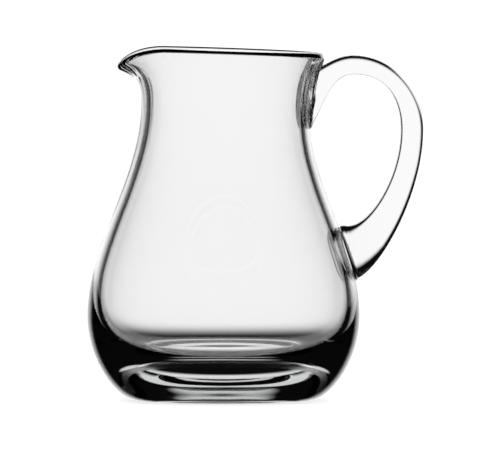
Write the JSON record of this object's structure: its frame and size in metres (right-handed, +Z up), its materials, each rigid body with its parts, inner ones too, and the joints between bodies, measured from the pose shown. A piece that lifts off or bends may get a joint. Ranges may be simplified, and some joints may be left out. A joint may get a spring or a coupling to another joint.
{
  "type": "glass pitcher",
  "caption": "Clear glass pitcher with a heavy base, pear-shaped bowl, flared rim, pulled pouring spout and an applied glass handle.",
  "frame": {"origin": "centre of the foot, on the plane that the pitcher stands on", "axes": "+Z up along the bowl's axis, +X towards the handle, -X towards the spout, +Y across the plane of spout and handle"},
  "size_m": [0.1851, 0.15, 0.194],
  "materials": {
    "bowl_glass": "clear, colourless blown glass, fire-polished",
    "handle_glass": "clear, colourless drawn glass, fire-polished"
  },
  "bodies": {
    "root": {"bowl": "bowl_glass", "handle": "handle_glass"}
  },
  "joints": []
}
